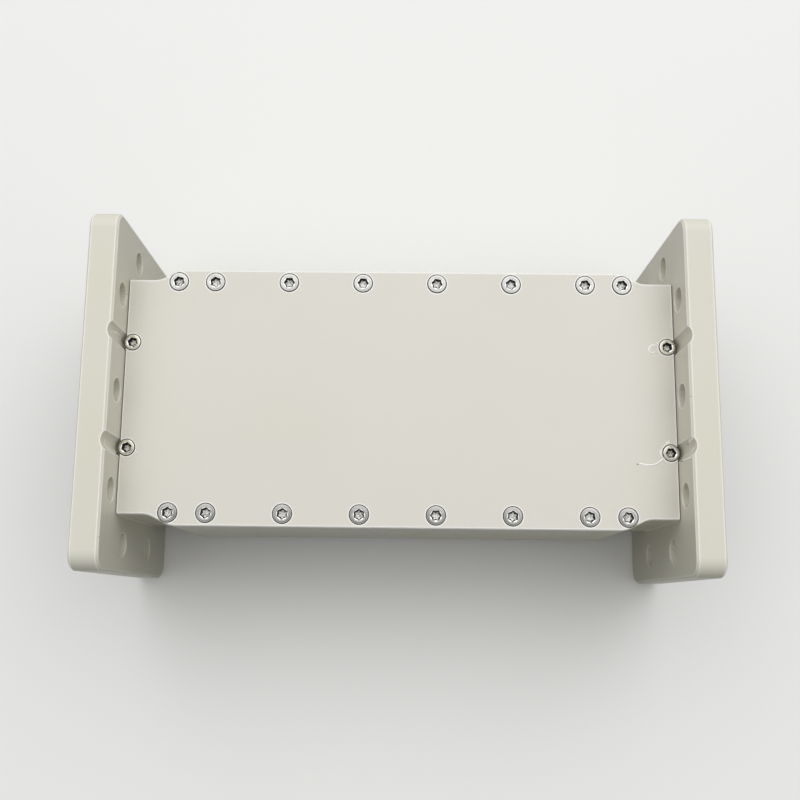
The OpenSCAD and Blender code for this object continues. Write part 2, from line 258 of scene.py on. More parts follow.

        # Milled aluminium with a clear conversion coat: grey, with the cutter's arcs in two tones, which
        # paint the sheen of the arcs.
        centred = add(tree, "ShaderNodeMapping", {"Vector": place, "Location": CUTTER_OFFSET})
        arcs = add(tree, "ShaderNodeTexWave",
                   {"Vector": centred, "Scale": per_metre(ARC_SPACING_MM) * WAVE_LENGTH,
                    "Distortion": 1.2, "Detail": 2.0, "Detail Scale": 0.4},
                   wave_type="RINGS", rings_direction="X").outputs["Fac"]
        milled = add(tree, "ShaderNodeMix", {FACTOR: arcs, COLOUR_A: linear("#A19F9A"),
                                             COLOUR_B: linear("#ACAAA5")}, data_type="RGBA")
        grooved = add(tree, "ShaderNodeBump", {"Height": arcs, "Strength": 0.4, "Distance": 0.02 * MM})
        colour = add(tree, "ShaderNodeMix", {FACTOR: bare, COLOUR_A: colour,
                                             COLOUR_B: milled.outputs[COLOUR_OUT]},
                     data_type="RGBA").outputs[COLOUR_OUT]
        rough = add(tree, "ShaderNodeMix", {FACTOR: bare, NUMBER_A: rough, NUMBER_B: 0.28})
        normal = add(tree, "ShaderNodeMix", {FACTOR: bare, VECTOR_A: normal, VECTOR_B: grooved},
                     data_type="VECTOR").outputs[VECTOR_OUT]
        metallic = bare

    shader = add(tree, "ShaderNodeBsdfPrincipled", {"Base Color": colour, "Roughness": rough,
                                                    "Metallic": metallic, "Normal": normal, "IOR": 1.5})
    add(tree, "ShaderNodeOutputMaterial", {"Surface": shader})
    return material


# The height over which the painted shade in a recess begins and ends.
SHADE_FADE = 0.03 * MM
# White painted on a screw's recess edge as a glint.
GLINT_WHITE = "#FFFFFC"


def metal(name, tones, roughness, recess=None):
    """Bare machined metal: two cloudy tones, roughness between two values, and fine tool marks.

    recess is (floor height, wall height, shade colour, floor tones), for screws. Between the two heights the
    metal is painted dark as the shade in the recess, and below them is the mottled, dull floor that the punch
    left. An attribute marks the recess edge, which is painted white as a glint.
    """
    material, tree = blank_material(name)
    place = add(tree, "ShaderNodeTexCoord").outputs["Object"]
    cloud = add(tree, "ShaderNodeTexNoise", {"Vector": place, "Scale": per_metre(2.5), "Detail": 3.0})
    colour = add(tree, "ShaderNodeMix", {FACTOR: cloud, COLOUR_A: linear(tones[0]),
                                         COLOUR_B: linear(tones[1])}, data_type="RGBA").outputs[COLOUR_OUT]
    rough = add(tree, "ShaderNodeMapRange", {"Value": cloud, FROM_LOW: 0.3, FROM_HIGH: 0.7,
                                             TO_LOW: roughness[0], TO_HIGH: roughness[1]})
    # Real tool marks are finer than this. They are drawn 0.3 mm apart so that they show.
    marks = add(tree, "ShaderNodeTexNoise", {"Vector": place, "Scale": per_metre(0.3), "Detail": 3.0})
    marks = add(tree, "ShaderNodeBump", {"Height": marks, "Strength": 0.3, "Distance": 0.01 * MM})
    metallic = 1.0

    if recess:
        floor_z, wall_z, recess_shade, floor_tones = recess
        height = add(tree, "ShaderNodeSeparateXYZ", {"Vector": place}).outputs["Z"]
        # The recess edge is painted white as a glint.
        rubbed = add(tree, "ShaderNodeAttribute", attribute_name="rubbed").outputs["Fac"]
        colour = add(tree, "ShaderNodeMix", {FACTOR: rubbed, COLOUR_A: colour,
                                             COLOUR_B: linear(GLINT_WHITE)}, data_type="RGBA")

        # The punched floor, with dents about 0.5 mm across.
        punched = add(tree, "ShaderNodeMath", {0: height, 1: floor_z}, operation="LESS_THAN")
        dents = add(tree, "ShaderNodeTexNoise", {"Vector": place, "Scale": per_metre(0.5), "Detail": 2.0})
        dents = add(tree, "ShaderNodeMapRange", {"Value": dents, FROM_LOW: 0.38, FROM_HIGH: 0.54})
        mottled = add(tree, "ShaderNodeMix", {FACTOR: dents, COLOUR_A: linear(floor_tones[0]),
                                              COLOUR_B: linear(floor_tones[1])}, data_type="RGBA")
        colour = add(tree, "ShaderNodeMix", {FACTOR: punched, COLOUR_A: colour.outputs[COLOUR_OUT],
                                             COLOUR_B: mottled.outputs[COLOUR_OUT]}, data_type="RGBA")
        rough = add(tree, "ShaderNodeMix", {FACTOR: punched, NUMBER_A: rough, NUMBER_B: 0.5})

        # Painted shade on the recess wall, which also darkens the collar round the head as the shade in its
        # gap.
        starts = add(tree, "ShaderNodeMapRange", {"Value": height,
                                                  FROM_LOW: floor_z, FROM_HIGH: floor_z + SHADE_FADE})
        ends = add(tree, "ShaderNodeMapRange", {"Value": height,
                                                FROM_LOW: wall_z + SHADE_FADE, FROM_HIGH: wall_z})
        painted_shade = add(tree, "ShaderNodeMath", {0: starts, 1: ends}, operation="MULTIPLY")
        colour = add(tree, "ShaderNodeMix", {FACTOR: painted_shade, COLOUR_A: colour.outputs[COLOUR_OUT],
                                             COLOUR_B: linear(recess_shade)}, data_type="RGBA").outputs[COLOUR_OUT]
        rough = add(tree, "ShaderNodeMix", {FACTOR: painted_shade, NUMBER_A: rough, NUMBER_B: 0.85})
        dull = add(tree, "ShaderNodeMath", {0: painted_shade, 1: punched}, operation="MAXIMUM")
        metallic = add(tree, "ShaderNodeMath", {0: 1.0, 1: dull}, operation="SUBTRACT")

    shader = add(tree, "ShaderNodeBsdfPrincipled", {"Base Color": colour, "Roughness": rough,
                                                    "Metallic": metallic, "Normal": marks})
    add(tree, "ShaderNodeOutputMaterial", {"Surface": shader})
    return material


def clear_lacquer():
    """Locking lacquer, dabbed on and dried: a glossy, rippled milky film, painted near-white for the
    highlights on it, so that it looks white against the enamel.
    """
    material, tree = blank_material("dried_locking_lacquer")
    place = add(tree, "ShaderNodeTexCoord").outputs["Object"]
    ripple = add(tree, "ShaderNodeTexNoise", {"Vector": place, "Scale": per_metre(0.8), "Detail": 2.0})
    bump = add(tree, "ShaderNodeBump", {"Height": ripple, "Strength": 0.6, "Distance": 0.05 * MM})
    milky_and_highlight = add(tree, "ShaderNodeMix", {FACTOR: ripple, COLOUR_A: linear("#FDFCF8"),
                                        COLOUR_B: linear("#F6F5EF")}, data_type="RGBA")
    shader = add(tree, "ShaderNodeBsdfPrincipled",
                 {"Base Color": milky_and_highlight.outputs[COLOUR_OUT], "Roughness": 0.12, "Normal": bump, "IOR": 1.48,
                  "Coat Weight": 0.6, "Coat Roughness": 0.05})
    add(tree, "ShaderNodeOutputMaterial", {"Surface": shader})
    return material


# Cream enamel: soft and even, with a painted highlight as a paler line along each edge.
body_enamel = enamel("cream_enamel_on_milled_aluminium", ("#DAD8CB", "#D9D7C6", "#F8F6EE"), BODY_CHIPS,
                     masked_metal=True)
cover_enamel = enamel("cream_enamel_on_cover_plate", ("#DDDAD1", "#DCD9CE", "#FFFFFC"), COVER_CHIPS)
# Stainless screws: bright flat heads, with recess walls painted dark as shade.
stainless = metal("tumbled_stainless_steel", ("#C0BFBC", "#B1B0AD"), (0.20, 0.30),
                  (SCREW_TOP_Z - 1.10 * MM, SCREW_TOP_Z - 0.094 * MM, "#201F1B", ("#A09E99", "#FFFFFC")))
# The four smaller screws at the ends are nickel plated: paler and warmer, with recesses painted dark as
# shade.
nickel = metal("nickel_plated_steel", ("#E3DFD3", "#D3CFC2"), (0.22, 0.32),
               (SCREW_TOP_Z - 1.245 * MM, SCREW_TOP_Z - 0.095 * MM, "#211F1A", ("#827F77", "#FBF9F1")))
# Brass grub screws: warm yellow, satin from the die that cut the thread.
brass = metal("cut_brass", ("#C9AE6A", "#B89A55"), (0.28, 0.38))
# Steel nuts: grey and satin.
nut_steel = metal("plated_nut_steel", ("#B9B8B5", "#A9A8A6"), (0.30, 0.42))
# Lacquer: a milky film painted near-white as its highlights, with small sharp highlights from its gloss as
# well.
lacquer = clear_lacquer()

for node_name, node in nodes.items():
    if node_name == "body":
        finish = body_enamel
    elif node_name == "cover":
        finish = cover_enamel
    elif "nut" in node_name:
        finish = nut_steel
    elif node_name.startswith(("tuning_screw", "coupling_screw")):
        finish = brass
    else:
        finish = stainless
    node.data.materials.clear()
    node.data.materials.append(finish)


# Screws by Geometry Nodes

# Points nearer than this are merged, which closes seams and poles.
SEAM = 0.001 * MM


def open_tree(name, sizes):
    """A new tree with geometry, sizes and material as named inputs, and the sockets that give them."""
    tree = bpy.data.node_groups.new(name, "GeometryNodeTree")
    sockets = tree.interface
    sockets.new_socket("Geometry", in_out="INPUT", socket_type="NodeSocketGeometry")
    for size, value in sizes.items():
        kind = "NodeSocketInt" if isinstance(value, int) else "NodeSocketFloat"
        sockets.new_socket(size, in_out="INPUT", socket_type=kind).default_value = value
    sockets.new_socket("Material", in_out="INPUT", socket_type="NodeSocketMaterial")
    sockets.new_socket("Geometry", in_out="OUTPUT", socket_type="NodeSocketGeometry")
    return tree, add(tree, "NodeGroupInput").outputs


def sheet_of_rows(tree, sides, rows):
    """A flat grid that can be wrapped round Z: the grid, each point's angle, its row, and the last row."""
    grid = add(tree, "GeometryNodeMeshGrid", {"Size X": 1.0, "Size Y": 1.0, "Vertices X": sides + 1,
                                              "Vertices Y": rows})
    cell = add(tree, "ShaderNodeSeparateXYZ", {"Vector": add(tree, "GeometryNodeInputPosition")})
    angle = add(tree, "ShaderNodeMath", {0: cell.outputs["X"], 1: 2 * math.pi, 2: math.pi},
                operation="MULTIPLY_ADD")
    last = add(tree, "ShaderNodeMath", {0: rows, 1: 1.0}, operation="SUBTRACT")
    row = add(tree, "ShaderNodeMath", {0: cell.outputs["Y"], 1: 0.5}, operation="ADD")
    row = add(tree, "ShaderNodeMath", {0: row, 1: last}, operation="MULTIPLY")
    row = add(tree, "ShaderNodeMath", {0: row}, operation="ROUND")
    return grid, angle, row, last


def wrapped(tree, sheet, angle, radius, height):
    """The sheet wrapped round Z by each point's angle, radius and height, with its seam and ends closed."""
    cosine = add(tree, "ShaderNodeMath", {0: angle}, operation="COSINE")
    sine = add(tree, "ShaderNodeMath", {0: angle}, operation="SINE")
    x = add(tree, "ShaderNodeMath", {0: radius, 1: cosine}, operation="MULTIPLY")
    y = add(tree, "ShaderNodeMath", {0: radius, 1: sine}, operation="MULTIPLY")
    spot = add(tree, "ShaderNodeCombineXYZ", {"X": x, "Y": y, "Z": height})
    shape = add(tree, "GeometryNodeSetPosition", {"Geometry": sheet, "Position": spot})
    return add(tree, "GeometryNodeMergeByDistance", {"Geometry": shape, "Distance": SEAM})


def close_tree(tree, given, shape):
    """End a tree: the shape at each input point, turned about Z by the point's attribute, as real mesh."""
    turn = add(tree, "GeometryNodeInputNamedAttribute", {"Name": "turn"}, data_type="FLOAT")
    turned = add(tree, "ShaderNodeCombineXYZ", {"Z": turn})
    placed = add(tree, "GeometryNodeInstanceOnPoints", {"Points": given["Geometry"], "Instance": shape,
                                                        "Rotation": turned})
    real = add(tree, "GeometryNodeRealizeInstances", {"Geometry": placed})
    coated = add(tree, "GeometryNodeSetMaterial", {"Geometry": real, "Material": given["Material"]})
    add(tree, "NodeGroupOutput", {"Geometry": coated})


def revolved_tree(name, sizes, profile, sides):
    """A tree that turns a profile round each input point, with six lobes where the profile asks for them.

    Each profile row is (radius, height, lobes, glint). Radius and height are (size name or None, share,
    plus): the size times the share, plus a length. lobes is how far the row follows the six-lobed recess,
    from 0 for a circle to 1. glint is 1 where the recess edge is painted white as a highlight, and is stored
    as an attribute.
    """
    tree, given = open_tree(name, sizes)
    sheet, angle, row, _ = sheet_of_rows(tree, sides, len(profile))

    def by_row(values):
        """The value for each point's own row, from (size name or None, share, plus) for every row."""
        switch = add(tree, "GeometryNodeIndexSwitch", data_type="FLOAT")
        while len(switch.index_switch_items) < len(profile):
            switch.index_switch_items.new()
        tree.links.new(row.outputs[0], switch.inputs[0])
        for i, (size, share, plus) in enumerate(values):
            value = add(tree, "ShaderNodeMath", {0: given[size] if size else 0.0, 1: share, 2: plus},
                        operation="MULTIPLY_ADD")
            tree.links.new(value.outputs[0], switch.inputs[i + 1])
        return switch

    # Between the tips of the six lobes, the recess wall comes in by the lobe depth.
    inwards = add(tree, "ShaderNodeMath", {0: angle, 1: 6.0}, operation="MULTIPLY")
    inwards = add(tree, "ShaderNodeMath", {0: inwards}, operation="COSINE")
    inwards = add(tree, "ShaderNodeMath", {0: inwards, 1: -0.5, 2: 0.5}, operation="MULTIPLY_ADD")
    follow = by_row([(None, 0.0, line[2]) for line in profile])
    depth = add(tree, "ShaderNodeMath", {0: given["Lobe depth"], 1: follow}, operation="MULTIPLY")
    depth = add(tree, "ShaderNodeMath", {0: inwards, 1: depth}, operation="MULTIPLY")
    radius = by_row([line[0] for line in profile])
    radius = add(tree, "ShaderNodeMath", {0: radius, 1: depth}, operation="SUBTRACT")
    height = by_row([line[1] for line in profile])

    # The row comes from where a point is, so the attribute is stored before the points are moved.
    rubbed = by_row([(None, 0.0, line[3]) for line in profile])
    marked = add(tree, "GeometryNodeStoreNamedAttribute", {"Geometry": sheet, "Name": "rubbed",
                                                           "Value": rubbed},
                 data_type="FLOAT", domain="POINT")
    close_tree(tree, given, wrapped(tree, marked, angle, radius, height))
    return tree


def grown(name, tree, points, turns, inputs, smooth_angle=35):
    """Run a tree on points and return the result as a plain mesh object.

    turns are the points' turns about Z, and smooth_angle is the sharpest bend that is shaded smooth, both
    in degrees.
    """
    seeds = bpy.data.meshes.new(name + "_points")
    seeds.from_pydata(points, [], [])
    attribute = seeds.attributes.new("turn", "FLOAT", "POINT")
    attribute.data.foreach_set("value", [math.radians(t) for t in turns])
    holder = into_scene(name + "_points", seeds)
    modifier = holder.modifiers.new("tree", "NODES")
    modifier.node_group = tree
    identifiers = {item.name: item.identifier for item in tree.interface.items_tree
                   if item.in_out == "INPUT"}
    for socket, value in inputs.items():
        modifier[identifiers[socket]] = value
    graph = bpy.context.evaluated_depsgraph_get()
    mesh = bpy.data.meshes.new_from_object(holder.evaluated_get(graph), depsgraph=graph)
    bpy.data.objects.remove(holder)
    mesh.name = name
    mesh.shade_smooth()
    mesh.set_sharp_from_angle(angle=math.radians(smooth_angle))
    return into_scene(name, mesh)


def top_centre(node_name):
    """Middle of the top of a CAD screw."""
    low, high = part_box(node_name)
    return ((low.x + high.x) / 2, (low.y + high.y) / 2, high.z)


# Rows of a countersunk screw, with heights from its head's top: the recess from its floor up to its edge,
# painted white as a glint, the head's face with a shallow ring left by the lathe, the rim, a collar painted
# dark as the shade in the gap to the countersink, the cone and the shank.
RECESS_EDGE = 0.18 * MM
HEAD_RIM = 0.18 * MM
RIM_STEP = 0.03 * MM
SHADE_COLLAR_Z = 0.44 * MM
SHADE_COLLAR_W = 0.17 * MM
TIP = 0.4 * MM
ON_AXIS = (None, 0, 0)
AT_TOP = (None, 0, 0)
SCREW_PROFILE = [
    (ON_AXIS, ("Recess depth", -1, -0.16 * MM), 0, 0),
    (("Recess width", 0.20, 0), ("Recess depth", -1, -0.09 * MM), 0.5, 0),
    (("Recess width", 0.425, 0), ("Recess depth", -1, 0), 0.95, 0),
    (("Recess width", 0.445, 0), ("Recess depth", -1, 0.05 * MM), 1, 0),
    (("Recess width", 0.465, 0), ("Recess depth", -1, 0.17 * MM), 1, 0),
    (("Recess width", 0.50, 0), (None, 0, -RECESS_EDGE), 1, 1),
    (("Recess width", 0.50, 0.16 * MM), (None, 0, -0.01 * MM), 0.05, 1),
    (("Recess width", 0.50, 0.20 * MM), AT_TOP, 0, 0),
    (("Head diameter", 0.350, 0), AT_TOP, 0, 0),
    (("Head diameter", 0.362, 0), (None, 0, -0.025 * MM), 0, 0),
    (("Head diameter", 0.378, 0), AT_TOP, 0, 0),
    (("Head diameter", 0.5, -HEAD_RIM), (None, 0, -RIM_STEP), 0, 0),
    (("Head diameter", 0.5, -0.3 * HEAD_RIM), (None, 0, -RIM_STEP - 0.3 * HEAD_RIM), 0, 0),
    (("Head diameter", 0.5, 0), (None, 0, -HEAD_RIM), 0, 0),
    (("Head diameter", 0.5, 0), (None, 0, -SHADE_COLLAR_Z), 0, 0),
    (("Head diameter", 0.5, SHADE_COLLAR_W), (None, 0, -SHADE_COLLAR_Z - 0.03 * MM), 0, 0),
    (("Head diameter", 0.5, SHADE_COLLAR_W), (None, 0, -SHADE_COLLAR_Z - 0.08 * MM), 0, 0),
    (("Shank diameter", 0.5, 0), ("Cone end", -1, 0), 0, 0),
    (("Shank diameter", 0.5, 0), ("Length", -1, TIP), 0, 0),
    (("Shank diameter", 0.5, -TIP), ("Length", -1, 0), 0, 0),
    (ON_AXIS, ("Length", -1, 0), 0, 0),
]
SIDE_SCREW = {"Head diameter": 5.2 * MM, "Recess width": 2.9 * MM, "Recess depth": 1.1 * MM,
              "Lobe depth": 0.43 * MM, "Shank diameter": 3.0 * MM, "Cone end": 1.80 * MM,
              "Length": 8.0 * MM}
END_SCREW = {"Head diameter": 4.5 * MM, "Recess width": 2.65 * MM, "Recess depth": 1.2 * MM,
             "Lobe depth": 0.36 * MM, "Shank diameter": 2.5 * MM, "Cone end": 1.75 * MM,
             "Length": 6.0 * MM}
SCREW_SIDES = 96
# Only the gentlest bends of a screw are shaded smooth, so that the rim and the ring of its head stay crisp.
SCREW_SMOOTH_ANGLE = 9

# How far each recess is turned from X, in degrees, read from the photograph.
FRONT_TURNS = [30, 19, 25, 30, 0, 25, 39, 50]
REAR_TURNS = [45, 37, 0, 56, 47, 37, 7, 8]
COVER_TURNS = {f"cover_screw_front_{i}": turn for i, turn in enumerate(FRONT_TURNS, 1)}
COVER_TURNS.update({f"cover_screw_rear_{i}": turn for i, turn in enumerate(REAR_TURNS, 1)})
END_TURNS = {"end_screw_left_1": 20, "end_screw_left_2": 47, "end_screw_right_1": 2, "end_screw_right_2": 35}

screw_tree = revolved_tree("six_lobed_countersunk_screw", SIDE_SCREW, SCREW_PROFILE, SCREW_SIDES)
for piece_name, turns, sizes, finish in (("cover_screws", COVER_TURNS, SIDE_SCREW, stainless),
                                         ("end_screws", END_TURNS, END_SCREW, nickel)):
    piece = grown(piece_name, screw_tree, [top_centre(n) for n in turns], list(turns.values()),
                  dict(sizes, Material=finish), SCREW_SMOOTH_ANGLE)
    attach(piece, "root")
    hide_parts(*turns)


# Depth of a thread as a share of its pitch, and of the end chamfer as a share of the thread's depth.
THREAD_DEPTH = 0.58
THREAD_CHAMFER = 1.1


def threaded_tree(name, sizes, sides):
    """A tree that puts a slotted grub screw below each input point, its helical thread cut by the sizes."""
    tree, given = open_tree(name, sizes)
    sheet, angle, row, last = sheet_of_rows(tree, sides, given["Rows"])

    # The first and last rows close the ends, and those between share out the length.
    down = add(tree, "ShaderNodeMath", {0: row, 1: 1.0}, operation="SUBTRACT")
    spans = add(tree, "ShaderNodeMath", {0: last, 1: 2.0}, operation="SUBTRACT")
    down = add(tree, "ShaderNodeMath", {0: down, 1: spans}, operation="DIVIDE", use_clamp=True)
    down = add(tree, "ShaderNodeMath", {0: down, 1: given["Length"]}, operation="MULTIPLY")
    height = add(tree, "ShaderNodeMath", {0: down, 1: -1.0}, operation="MULTIPLY")
    up = add(tree, "ShaderNodeMath", {0: height, 1: given["Length"]}, operation="ADD")
    closing = add(tree, "ShaderNodeMath", {0: last, 1: row}, operation="SUBTRACT")
    closing = add(tree, "ShaderNodeMath", {0: row, 1: closing}, operation="MINIMUM", use_clamp=True)

    # The thread: a point's place between two crests of the helix sets how deep in the valley it is.
    phase = add(tree, "ShaderNodeMath", {0: height, 1: given["Pitch"]}, operation="DIVIDE")
    round_share = add(tree, "ShaderNodeMath", {0: angle, 1: 2 * math.pi}, operation="DIVIDE")
    phase = add(tree, "ShaderNodeMath", {0: phase, 1: round_share}, operation="SUBTRACT")
    valley = add(tree, "ShaderNodeMath", {0: phase, 1: 0.5}, operation="PINGPONG")
    valley = add(tree, "ShaderNodeMath", {0: valley, 1: 2.5, 2: -0.3}, operation="MULTIPLY_ADD",
                 use_clamp=True)
    depth = add(tree, "ShaderNodeMath", {0: given["Pitch"], 1: THREAD_DEPTH}, operation="MULTIPLY")
    crest = add(tree, "ShaderNodeMath", {0: given["Diameter"], 1: 0.5}, operation="MULTIPLY")
    radius = add(tree, "ShaderNodeMath", {0: valley, 1: depth}, operation="MULTIPLY")
    radius = add(tree, "ShaderNodeMath", {0: crest, 1: radius}, operation="SUBTRACT")

    # A chamfer at each end, a little deeper than the thread.
    from_end = add(tree, "ShaderNodeMath", {0: down, 1: up}, operation="MINIMUM")
    chamfer = add(tree, "ShaderNodeMath", {0: depth, 1: THREAD_CHAMFER}, operation="MULTIPLY")
    chamfer = add(tree, "ShaderNodeMath", {0: crest, 1: chamfer}, operation="SUBTRACT")
    chamfer = add(tree, "ShaderNodeMath", {0: chamfer, 1: from_end}, operation="ADD")
    radius = add(tree, "ShaderNodeMath", {0: radius, 1: chamfer}, operation="MINIMUM")
    radius = add(tree, "ShaderNodeMath", {0: radius, 1: closing}, operation="MULTIPLY")
    shape = wrapped(tree, sheet, angle, radius, height)

    # The screwdriver slot in the lower end, cut by a bar that is longer and deeper than the slot.
    bar_length = add(tree, "ShaderNodeMath", {0: given["Diameter"], 1: 1.4}, operation="MULTIPLY")
    bar_height = add(tree, "ShaderNodeMath", {0: given["Slot depth"], 1: 2.0}, operation="MULTIPLY")
    bar = add(tree, "ShaderNodeCombineXYZ", {"X": bar_length, "Y": given["Slot width"], "Z": bar_height})
    bar = add(tree, "GeometryNodeMeshCube", {"Size": bar})
    end_z = add(tree, "ShaderNodeMath", {0: given["Length"], 1: -1.0}, operation="MULTIPLY")
    end = add(tree, "ShaderNodeCombineXYZ", {"Z": end_z})
    bar = add(tree, "GeometryNodeTransform", {"Geometry": bar, "Translation": end})
    slotted = add(tree, "GeometryNodeMeshBoolean", {"Mesh 1": shape, "Mesh 2": bar},
                  operation="DIFFERENCE")
    close_tree(tree, given, slotted)
    return tree


THREAD_SIDES = 32
ROWS_PER_TURN = 8
# One row more than there are spans, and one to close each end.
SPARE_ROWS = 3
TUNING = {"Diameter": 5.0 * MM, "Pitch": 0.8 * MM, "Length": 20.0 * MM, "Slot width": 0.9 * MM,
          "Slot depth": 1.3 * MM, "Rows": 200}
COUPLING = dict(TUNING, Diameter=4.0 * MM, Pitch=0.7 * MM)
thread_tree = threaded_tree("slotted_threaded_screw", TUNING, THREAD_SIDES)

# Groups of equal screws: the piece's name, its sizes, and each screw with the turn of its slot in degrees.
THREADED = [
    ("end_cavity_screws", TUNING, {"tuning_screw_1": 25, "tuning_screw_4": 110}),
    ("inner_cavity_screws", TUNING, {"tuning_screw_2": 160, "tuning_screw_3": 70}),
    ("side_coupling_screws", COUPLING, {"coupling_screw_1": 50, "coupling_screw_3": 5}),
    ("middle_coupling_screw", COUPLING, {"coupling_screw_2": 130}),
]
for piece_name, sizes, turns in THREADED:
    low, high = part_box(next(iter(turns)))
    length = high.z - low.z
    fitted = dict(sizes, Length=length, Diameter=high.x - low.x,
                  Rows=round(length / sizes["Pitch"] * ROWS_PER_TURN) + SPARE_ROWS)
    piece = grown(piece_name, thread_tree, [top_centre(n) for n in turns], list(turns.values()),
                  dict(fitted, Material=brass))
    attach(piece, "root")
    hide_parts(*turns)


# Lacquer

# A stroke's cross-section: across and up, as shares of its width.
STROKE_ARCH = [(-0.5, -0.06), (-0.36, 0.16), (0.0, 0.26), (0.36, 0.16), (0.5, -0.06)]


def strokes(paths):
    """A mesh of thin domed strokes. Each path is (points, normals), a point being (x, y, z, width) in mm."""
    points, faces = [], []
    n = len(STROKE_ARCH)
    for path, normals in paths:
        start = len(points)
        last = len(path) - 1
        for i, (x, y, z, width) in enumerate(path):
            here = Vector((x, y, z))
            along = Vector(path[min(i + 1, last)][:3]) - Vector(path[max(i - 1, 0)][:3])
            side = normals[i].cross(along).normalized()
            for across, up in STROKE_ARCH:
                points.append((here + side * across * width + normals[i] * up * width) * MM)
        for i in range(last):
            for k in range(n):
                a, b = start + i * n + k, start + i * n + (k + 1) % n
                faces.append((a, b, b + n, a + n))
        faces.append(tuple(start + k for k in reversed(range(n))))
        faces.append(tuple(start + last * n + k for k in range(n)))
    mesh = bpy.data.meshes.new("lacquer")
    mesh.from_pydata(points, [], faces)
    mesh.materials.append(lacquer)
    mesh.shade_smooth()
    return mesh


def on_cover(path):
    """A stroke on the cover, from (x, y, width) points in millimetres."""
    return [(x, y, COVER_Z / MM, width) for x, y, width in path], [Vector((0, 0, 1))] * len(path)


def in_groove(side_x, side_y, path):
    """A stroke down a driver's groove, from (angle in degrees, height, width) points in millimetres.

    The angle is measured at the groove's axis, from the flange's side towards +Y.
    """
    spots, normals = [], []
    axis = Vector((side_x * GROOVE_X, side_y * GROOVE_Y, 0.0))
    for angle, height, width in path:
        turn = math.radians(angle)
        outward = Vector((side_x * math.cos(turn), math.sin(turn), 0.0))
        spot = axis / MM + outward * GROOVE_R / MM
        spots.append((spot.x, spot.y, height, width))
        normals.append(-outward)
    return spots, normals


def on_flange(side_x, path):
    """A stroke on a flange's inner face, from (y, height, width) points in millimetres."""
    spots = [(side_x * FLANGE_INNER_X_MM, y, z, width) for y, z, width in path]
    return spots, [Vector((-side_x, 0, 0))] * len(path)


# The lacquer that runs most of the way round the head of the right front end screw.
RING_R_MM = 2.72
RING_W_MM = 0.42
ring = [(GROOVE_X / MM + RING_R_MM * math.cos(math.radians(a)),
         -GROOVE_Y / MM + RING_R_MM * math.sin(math.radians(a)), RING_W_MM) for a in range(80, 305, 12)]

# Strokes read from the photograph.
LACQUER = [
    on_cover([(72.3, 13.1, 0.3), (71.5, 13.6, 0.5), (70.9, 13.3, 0.45), (70.3, 13.4, 0.5),
              (69.8, 14.0, 0.5), (70.0, 15.0, 0.5), (70.7, 15.6, 0.5), (71.5, 15.6, 0.45),
              (72.0, 15.2, 0.3)]),
    on_cover([(65.9, -17.9, 0.2), (66.6, -18.0, 0.5), (68.0, -18.4, 0.55), (69.6, -18.4, 0.5),
              (70.6, -18.1, 0.45), (71.3, -17.8, 0.5), (72.4, -16.9, 0.65), (73.1, -16.4, 0.5)]),
    on_cover([(73.2, -12.9, 0.3), (73.9, -12.3, 0.5), (74.4, -11.8, 0.6), (75.0, -11.6, 0.3)]),
    on_cover(ring),
    on_cover([(71.9, -14.1, 0.2), (72.0, -15.0, 0.4), (72.2, -15.8, 0.5), (72.9, -16.4, 0.3)]),
    on_cover([(71.7, 14.9, 0.3), (71.9, 15.7, 0.4), (72.5, 16.6, 0.3)]),
    on_cover([(-72.2, -16.55, 0.3), (-72.0, -16.55, 0.5), (-71.75, -16.55, 0.3)]),
    in_groove(1, -1, [(-28, 54.4, 0.5), (-19, 57.0, 0.6), (-17, 60.5, 0.6), (-18, 65.0, 0.6),
                      (-2, 67.5, 0.4)]),
    in_groove(1, -1, [(26, 62.5, 0.6), (34, 65.0, 1.0), (40, 68.0, 0.9), (42, 69.3, 0.5)]),
    on_flange(1, [(-17.6, 58.6, 0.3), (-17.7, 61.0, 0.4), (-17.8, 64.0, 0.4), (-17.9, 67.9, 0.3)]),
    in_groove(-1, -1, [(9, 66.3, 0.3), (-16, 65.9, 0.5), (-36, 65.0, 0.5), (-41, 61.2, 0.6),
                       (-36, 58.2, 0.7), (-29, 55.5, 0.5)]),
    in_groove(-1, -1, [(-20, 58.6, 0.3), (-26, 56.4, 0.4), (-33, 54.6, 0.3)]),
    in_groove(-1, 1, [(10, 65.9, 0.3), (21, 61.9, 0.45), (12, 58.5, 0.45), (7, 55.4, 0.3)]),
]
marks = into_scene("lacquer_marks", strokes(LACQUER))
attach(marks, "root")


# Floor, backdrop and light

WHITE = linear("#FFFFFF")
FLOOR_SIZE = 6.0
# Distances from the middle between which the floor turns into the white backdrop.
FADE_START = 0.35
FADE_END = 1.2
# The way to the brightest part of the room, 15 degrees behind straight up.
BRIGHTEST = (0.0, 0.26, 0.966)


def rays_that_see(tree):
    """A Light Path node, and a number that is 1 for camera, gloss and clear rays and 0 for diffuse ones."""
    path = add(tree, "ShaderNodeLightPath")
    seen = add(tree, "ShaderNodeMath", {0: path.outputs["Is Camera Ray"], 1: path.outputs["Is Glossy Ray"]},
               operation="MAXIMUM")
    seen = add(tree, "ShaderNodeMath", {0: seen, 1: path.outputs["Is Transmission Ray"]},
               operation="MAXIMUM")
    return path, seen


corner = FLOOR_SIZE / 2
floor_mesh = bpy.data.meshes.new("floor")
floor_mesh.from_pydata([(-corner, -corner, 0), (corner, -corner, 0), (corner, corner, 0),
                        (-corner, corner, 0)], [], [(0, 1, 2, 3)])
floor = into_scene("floor", floor_mesh)

